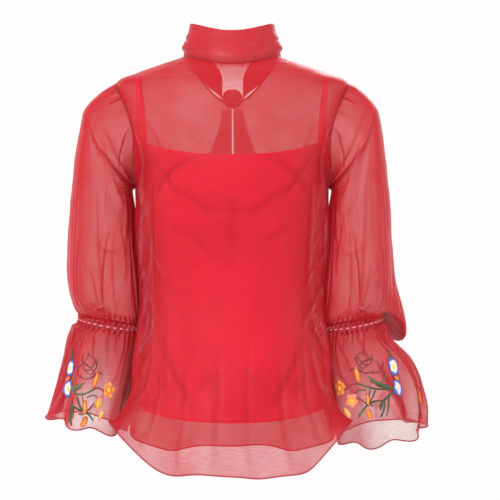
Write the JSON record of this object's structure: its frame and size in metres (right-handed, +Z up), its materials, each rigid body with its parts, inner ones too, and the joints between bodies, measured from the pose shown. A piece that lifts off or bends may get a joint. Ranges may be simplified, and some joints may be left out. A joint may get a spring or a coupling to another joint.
{
  "type": "tie neck shirt",
  "caption": "Sheer long-sleeved blouse in its worn form, with a high collar tied at the front, balloon sleeves gathered into bell ruffles, a curved shirt-tail hem and a camisole lining.",
  "frame": {"origin": "centre of the neck opening, at the height of the neck seam beside the neck, where the garment hangs from the neck and shoulders", "axes": "+Z up the garment, -Y out of its front, +X to the wearer's left"},
  "size_m": [0.5607, 0.2556, 0.6462],
  "materials": {
    "sheer_body": "sheer crisp organza with a soft sheen",
    "sheer_sleeve": "sheer crisp organza with a soft sheen",
    "sheer_ruffle": "sheer crisp organza with embroidered flowers",
    "elastic": "narrow gathered elastic",
    "collar_cloth": "sheer organza folded in two",
    "camisole": "smooth satin-like lining"
  },
  "bodies": {
    "root": {"back": "sheer_body", "front": "sheer_body", "sleeve_left": "sheer_sleeve", "sleeve_right": "sheer_sleeve", "cuff_band_left": "elastic", "cuff_band_right": "elastic", "ruffle_left": "sheer_ruffle", "ruffle_right": "sheer_ruffle", "collar": "collar_cloth", "tie_knot": "collar_cloth", "tie_tail_left": "sheer_body", "tie_tail_right": "sheer_body", "cami_back": "camisole", "cami_front": "camisole", "strap_left": "camisole", "strap_right": "camisole"}
  },
  "joints": []
}
